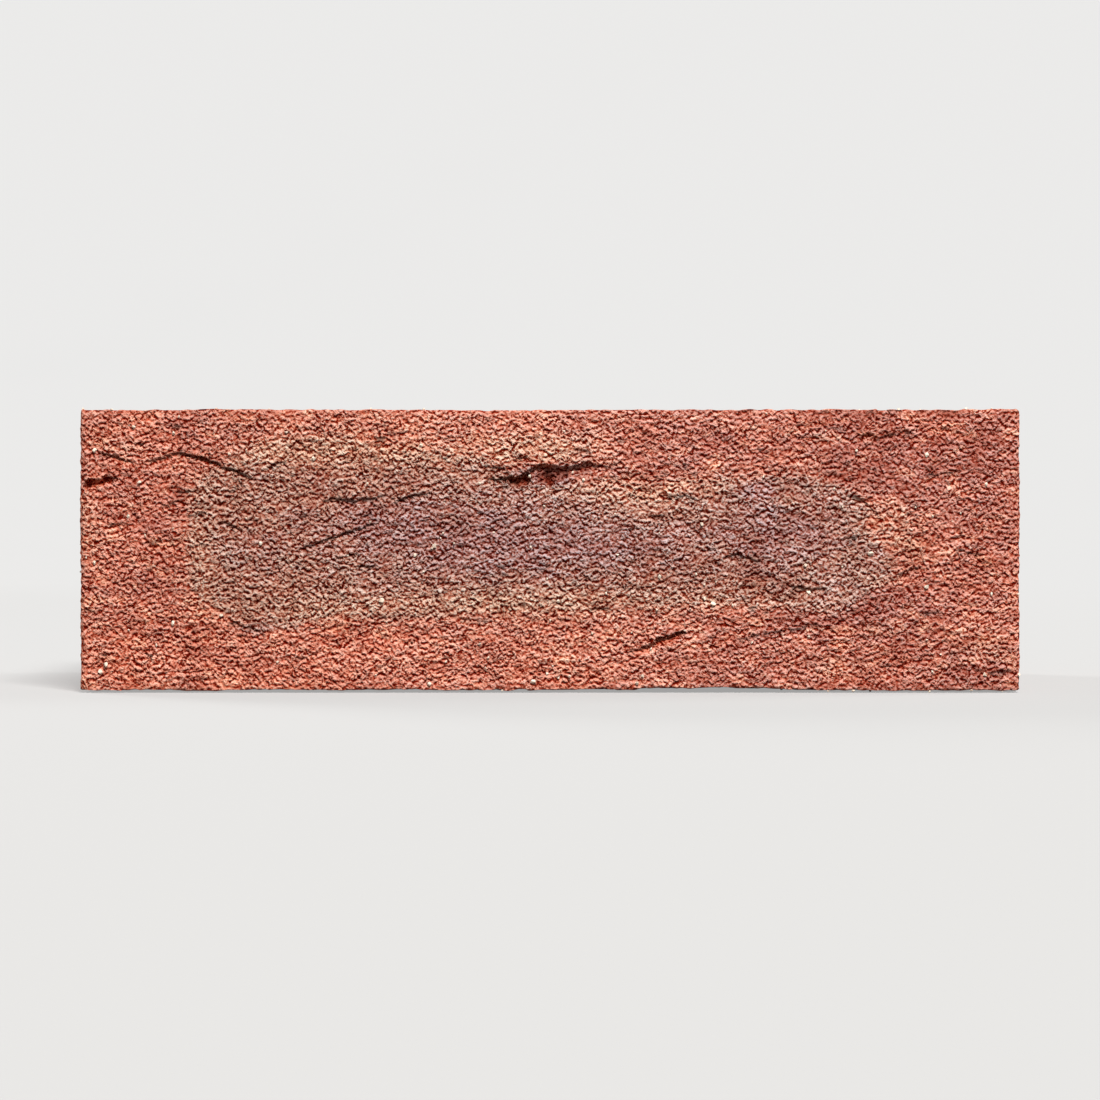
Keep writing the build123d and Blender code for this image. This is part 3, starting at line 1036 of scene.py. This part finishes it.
# Sizes of the torn clay's lumps and grains, their heights, and how far they sag and sway
LUMP_SIZE = (0.9, 0.9, 0.85)
LUMP_HEIGHT = 0.6
GRAIN_SIZE = (0.78, 0.78, 0.76)
GRAIN_HEIGHT = 3.2
GRAIN_DETAIL = 2.0
SAG = 0.2
SWAY = 0.8
# Middle of those heights
MIDDLE_HEIGHT = -0.35
# How much of those heights the bump takes. The shade between the lumps takes all of them
BUMP_SHARE = 0.5
# A lump shades what is this far below its crest, and this far to either side of there
SHADE_REACH = 0.4
SHADE_SWAY = 0.35
# How much a place's own height counts in its shade
CAVITY_SHARE = 0.4
# How dark the painted shade right under a lump is, and how light the painted highlight on top of it
CREASE_SHADE = 0.12
CREST_SHADE = 1.33
# How far under its lump a place is where that shade starts and where it is deepest
SHADE_FROM = -0.35
SHADE_TO = 0.5
# How fast red, green and blue fall in a crease, where light bounces between its walls
RED_FALL = (0.68, 1.55, 1.9)
PATCH_FALL = (0.8, 1.75, 2.1)
# Painted shade: what is left of those where a crease is darkest, and inside a tear
PAINTED_CREASE_RED = rgb(1.0, 0.62, 0.48)
PAINTED_TEAR_RED = rgb(0.95, 0.74, 0.60)

# Sizes and heights of the crumbs, grooves and pits that the cutting wire left across the beds
CRUMB_SIZE = (0.8, 1.3, 1.3)
CRUMB_HEIGHT = 2.3
GROOVE_SIZE = (1.3, 24, 24)
GROOVE_HEIGHT = 0.9
PIT_SIZE = (1.7, 3.0, 3.0)
PIT_DEPTH = 0.8
BED_BUMP_SHARE = 0.5
# Size of the lines that the die drew up the back and the perforations' walls
LINE_SIZE = (0.8, 0.8, 30)


def torn_bump(make, place):
    """Height of the torn clay's grain, shifted so that each lump sags over a steep crease below it."""
    warp = make.noise(place, (1.3, 1.3, 1.0)) - 0.5
    lump = make.cells(make.shifted(place, warp * SWAY, warp * SAG), LUMP_SIZE) ** 1.6
    turned = make.turned(make.shifted(place, warp * SWAY, 0.0))
    first = make.noise(turned, GRAIN_SIZE, GRAIN_DETAIL) - 0.5
    grain = make.noise(make.shifted(turned, 0.0, first * SAG), GRAIN_SIZE, GRAIN_DETAIL) - 0.5
    return grain * GRAIN_HEIGHT - lump * LUMP_HEIGHT


def torn_shade(make, place, height, roughness):
    """Painted shade between the torn clay's lumps and painted highlight on their tops, which a bump can't
    throw by itself.
    """
    sway = make.remap(make.noise(place, (2.4, 2.4, 2.0)), 0.3, 0.7, -SHADE_SWAY, SHADE_SWAY)
    over = torn_bump(make, make.shifted(place, sway, SHADE_REACH))
    under = (over - height * (1 + CAVITY_SHARE) + CAVITY_SHARE * MIDDLE_HEIGHT) * roughness
    return make.remap(under, SHADE_FROM, SHADE_TO, CREST_SHADE, CREASE_SHADE)


def deepened(make, shade, falls):
    """A tint for a shade, with more of the clay's own colour where it is darker."""
    return make.node("CombineColor", {channel: shade ** fall for channel, fall in enumerate(falls)})


def wire_cut_height(make, place):
    """Height of the grain of the wire-cut beds."""
    crumbs = make.noise(place, CRUMB_SIZE, 2.0, 0.6) - 0.5
    grooves = make.noise(place, GROOVE_SIZE, 2.0, 0.6) - 0.5
    pits = make.remap(make.noise(place, PIT_SIZE), 0.30, 0.38, -PIT_DEPTH, 0, "SMOOTHSTEP")
    return pits + crumbs * CRUMB_HEIGHT + grooves * GROOVE_HEIGHT


def drawn_shade(make, place):
    """Shade of clay that slid along the die: faint lines with a few crumbs."""
    lines = make.remap(make.noise(place, LINE_SIZE, 2.0), 0.3, 0.7, 0.86, 1.14)
    return lines * make.remap(make.noise(place, (1.2, 1.2, 1.2), 2.0), 0.34, 0.55, 0.74, 1.08)


def clay_colour(make, place, mottle, quick, dents, patch):
    """Colour as fired: mottled red, and a brown and purple kiln patch with a buff fringe."""
    slow = make.noise(place, (24, 24, 14), 2.0)
    tone = make.attribute("tone") * 0.45 + make.remap(slow, 0.3, 0.7, 0.2, 0.8)
    tone = tone + make.remap(mottle, 0.25, 0.75, -0.35, 0.35)
    red = make.blend(make.remap(tone, 0, 1), DEEP_RED, BRIGHT_RED)
    red = make.blend(make.remap(mottle + quick * 0.4, 0.78, 1.0) * 0.5, red, ORANGE)
    red = make.blend(make.attribute("uneven") * make.remap(dents, 0.55, 0.75, 0, 0.45), red, ORANGE)
    purple = make.attribute("purple") + make.remap(mottle, 0.3, 0.7, -0.4, 0.4)
    fired = make.blend(make.remap(purple, 0, 1), PATCH_BROWN, PATCH_PURPLE)
    buff = make.attribute("buff") * make.remap(mottle, 0.3, 0.68, 0.45, 1.0)
    return make.blend(buff, make.blend(patch, red, fired), BUFF)


def shaded(make, base, shade, patch, uneven):
    """The colour under a painted shade, with painted shade that darkens and reddens its creases and tears,
    and redder at the brick's ends.
    """
    shade = shade * (make.math("MINIMUM", uneven, 0.0) + 1.0)
    tints = [deepened(make, shade, falls) for falls in (RED_FALL, PATCH_FALL)]
    base = make.tint(base, make.blend(patch, *tints))
    # Painted shade: deep red where the painted shade of a crease is darkest
    painted_crease = make.remap(shade, 0.12, 0.55, 1, 0) * make.remap(patch, 0, 1, 1, 0.4)
    base = make.tint(base, PAINTED_CREASE_RED, painted_crease)
    # Painted shade on the floors of the tears, darker and redder
    base = make.tint(base, PAINTED_TEAR_RED, make.attribute("tear") * make.remap(patch, 0, 1, 0.9, 0.3))
    base = make.tint(base, RUDDY, make.attribute("ruddy"))
    return make.tint(base, make.math("MAXIMUM", uneven, 0.0) + 1.0)


def clay_material():
    """Fired clay: torn on the sides, wire-cut on the beds, and drawn by the die elsewhere."""
    make = Material("fired_clay_torn")
    place = make.place()
    bed = make.attribute("bed")
    wall = make.attribute("wall")
    die_skin = make.attribute("die_skin")
    mottle = make.noise(place, (5.5, 5.5, 3.2), 2.0, 0.6)
    quick = make.noise(place, (1.6, 1.6, 1.0))
    dents = make.noise(place, (8.5, 8.5, 4.6), 2.0, 0.6)
    rough = make.remap(make.noise(place, (5.0, 5.0, 3.6)), 0.32, 0.68, 0.6, 1.3)
    torn_grain = torn_bump(make, place)
    bed_grain = wire_cut_height(make, place)
    drawn = make.math("MAXIMUM", wall, die_skin * 0.6)
    smooth = make.math("MAXIMUM", bed, drawn)

    patch = make.attribute("patch") + make.remap(quick, 0.2, 0.8, -0.22, 0.22)
    patch = make.remap(patch, 0.15, 0.85)
    base = clay_colour(make, place, mottle, quick, dents, patch)
    # Painted shade under the torn clay's lumps, and painted highlight on their crests
    shade = make.mix(smooth, torn_shade(make, place, torn_grain, rough), 1.0)
    # Painted shade in hollows and tears: the deeper a place lies in the relief, the darker
    shade = shade * make.remap(make.attribute("relief"), -2.0, 0.2, 0.30, 1.04)
    shade = shade * make.remap(quick, 0.25, 0.75, 0.85, 1.15)
    uneven = make.attribute("uneven") * make.remap(dents, 0.32, 0.68, -UNEVEN, UNEVEN)
    base = shaded(make, base, shade, patch, uneven)
    # Painted shade in the beds' pits and grooves, and painted highlight on their crumbs, from the beds' own
    # height
    smooth_shade = make.mix(bed, 1.0, make.remap(bed_grain, -1.1, 0.5, 0.42, 1.2))
    smooth_shade = make.mix(drawn, smooth_shade, drawn_shade(make, place))
    # Painted shade that darkens the smooth clay, against the stronger light on the top bed
    base = make.tint(base, smooth_shade * make.remap(smooth, 0, 1, 1, SMOOTH_SHADE))
    base = make.blend(make.specks(place, 3.6, 0.30, 3.7) * 0.75, base, DARK_FLECK)
    base = make.blend(make.specks(place, 4.4, 0.28, 11.3) * 0.6, base, PALE_FLECK)

    drawn_lines = make.noise(place, LINE_SIZE, 2.0) * 0.22 + make.noise(place, (0.9, 1.4, 1.4)) * 0.2
    height = make.mix(bed, torn_grain * (rough * BUMP_SHARE), bed_grain * BED_BUMP_SHARE)
    height = make.mix(make.math("MAXIMUM", wall, die_skin * 0.85), height, drawn_lines)
    roughness = make.remap(quick, 0, 1, 0.84, 0.98)
    look = {"Base Color": base, "Roughness": roughness, "Specular IOR Level": 0.0}
    return make.bumped_surface(look, height, 1.0, MM)


def grit_material():
    """Pale quartz and lime grains, dusted with red clay."""
    make = Material("fired_clay_pale_grit")
    place = make.place()
    patchy = make.noise(place, (1.4, 1.4, 1.4), 2.0)
    fine = make.noise(place, (0.3, 0.3, 0.3), 2.0)
    base = make.blend(make.remap(patchy, 0.5, 0.75), GRIT_PALE, GRIT_DARK)
    base = make.blend(make.remap(fine, 0.5, 0.8, 0, 0.3), base, GRIT_DUST)
    roughness = make.remap(fine, 0.2, 0.8, 0.45, 0.8)
    look = {"Base Color": base, "Roughness": roughness, "Specular IOR Level": 0.4}
    return make.bumped_surface(look, fine, 0.6, 0.1 * MM)


# Stage, lights and camera, with sizes in metres


FLOOR_RADIUS = 2.6
FLOOR_RINGS = 28
WALL_RADIUS = 1.2
WALL_RINGS = 18
WALL_HEIGHT = 1.6
STAGE_COLUMNS = 96
# How bright the camera sees the stage where nothing shades it
STAGE_LEVEL = 0.84
STAGE_TINT = rgb(1.0, 0.995, 0.985)
# Colour of the floor for light that bounces off it, and for the camera
FLOOR_BOUNCE = 0.20
FLOOR_PALE = 0.24


def stage_material():
    """A pale stage. Its own light, for the camera, fills up what the lamps leave outside the shadow."""
    make = Material("stage_pale")
    rays = [make.node("LightPath", {}, f"Is {kind} Ray") for kind in ("Camera", "Glossy")]
    seen = make.math("MAXIMUM", *rays)
    colour = make.blend(seen, rgb(*[FLOOR_BOUNCE] * 3), rgb(*[FLOOR_PALE] * 3))
    matt = make.node("BsdfDiffuse", {"Color": colour})
    light = make.node("Emission", {"Color": STAGE_TINT, "Strength": make.attribute("glow") * seen})
    # Only the camera sees that light, so the renderer needn't look for it from the brick
    make.material.cycles.emission_sampling = "NONE"
    return make.finish(make.node("AddShader", {0: matt, 1: light}))


def build_stage():
    """A round floor that curves up into a wall, the same from every side."""
    flat = FLOOR_RADIUS - WALL_RADIUS
    section = [(flat * (ring / FLOOR_RINGS) ** 1.3, 0.0) for ring in range(1, FLOOR_RINGS + 1)]
    for ring in range(1, WALL_RINGS + 1):
        turn = math.pi / 2 * ring / WALL_RINGS
        section.append((flat + WALL_RADIUS * math.sin(turn), WALL_RADIUS * (1 - math.cos(turn))))
    section.append((FLOOR_RADIUS, WALL_HEIGHT))
    turns = 2 * math.pi * np.arange(STAGE_COLUMNS) / STAGE_COLUMNS
    points = [(0.0, 0.0, 0.0)]
    for reach, level in section:
        points += [(reach * math.cos(turn), reach * math.sin(turn), level) for turn in turns]
    grid = np.arange(1, len(points)).reshape(-1, STAGE_COLUMNS)
    middle = [(0, *pair) for pair in zip(grid[0].tolist(), np.roll(grid[0], -1).tolist())]
    faces = middle + ring_faces(grid, inward=True)
    floor = make_piece("stage", np.array(points) / MM, faces, {"glow": np.zeros(len(points))})
    levels = [lamp_level(vertex.co, vertex.normal) for vertex in floor.data.vertices]
    glow = [max(0.0, STAGE_LEVEL - FLOOR_PALE * level) for level in levels]
    floor.data.attributes["glow"].data.foreach_set("value", glow)
    floor.data.materials.append(stage_material())
    return floor


AIM = Vector((0, 0, HEIGHT / 2 * MM))


def direction(azimuth, elevation):
    """Unit direction from the brick. Azimuth 0 is in front of it, and 90 is off its right end."""
    turn = math.radians(azimuth)
    rise = math.radians(elevation)
    return Vector((math.sin(turn) * math.cos(rise), -math.cos(turn) * math.cos(rise), math.sin(rise)))


# Each lamp's azimuth, elevation, distance and size, and the level that it gives a surface facing it,
# where 1 shows a colour as it is written
LAMPS = {
    "key_lamp": (14, 48, 1.5, 0.4, 1.63),
    "back_lamp": (228, 21, 1.6, 0.5, 0.82),
    "right_lamp": (105, 25, 1.6, 0.5, 0.54),
}
LAMP_TINT = (1.0, 0.985, 0.96)
# Level of the plain light from all round
FILL_LEVEL = 0.20


def lamp_level(point, normal):
    """The level that the lamps and the fill give a surface of the stage."""
    total = FILL_LEVEL
    for azimuth, elevation, distance, _, level in LAMPS.values():
        toward = direction(azimuth, elevation)
        ray = AIM + toward * distance - point
        facing = max(0.0, ray.normalized().dot(normal)) * max(0.0, ray.normalized().dot(toward))
        total += level * facing * (distance / ray.length) ** 2
    return total


def build_lights():
    """Square lamps that face the brick, and a plain fill."""
    for name, (azimuth, elevation, distance, size, level) in LAMPS.items():
        data = bpy.data.lights.new(name, "AREA")
        data.shape = "SQUARE"
        data.size = size
        data.energy = level * (math.pi * distance) ** 2
        data.color = LAMP_TINT
        away = direction(azimuth, elevation)
        lamp = add_object(name, data)
        lamp.location = AIM + away * distance
        lamp.rotation_euler = away.to_track_quat("Z", "Y").to_euler()
    world = bpy.data.worlds.new("studio")
    world.use_nodes = True
    world.node_tree.nodes["Background"].inputs["Color"].default_value = rgb(1.0, 1.0, 1.0)
    world.node_tree.nodes["Background"].inputs["Strength"].default_value = FILL_LEVEL
    bpy.context.scene.world = world


CAMERA_ELEVATION = 0.4
# Focal length and sensor in millimetres
CAMERA_LENS = 100.0
SENSOR_WIDTH = 36.0
# Share of the frame's width that the brick takes
FRAME_SHARE = 0.86


def build_camera():
    """A camera square on to the front face, as in the photograph."""
    data = bpy.data.cameras.new("camera")
    data.lens = CAMERA_LENS
    data.sensor_width = SENSOR_WIDTH
    camera = add_object("camera", data)
    distance = LENGTH * MM / FRAME_SHARE * CAMERA_LENS / SENSOR_WIDTH
    away = direction(0, CAMERA_ELEVATION)
    camera.location = AIM + Vector((0, -WIDTH / 2 * MM, 0)) + away * distance
    camera.rotation_euler = away.to_track_quat("Z", "Y").to_euler()
    bpy.context.scene.camera = camera


# Putting it together


brick = build_brick()
brick.data.materials.append(clay_material())
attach(brick, "root")
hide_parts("brick")

grit = build_grit(brick)
grit.data.materials.append(grit_material())
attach(grit, "root")

floor = build_stage()
build_lights()
build_camera()
bpy.context.scene.view_settings.view_transform = "Standard"
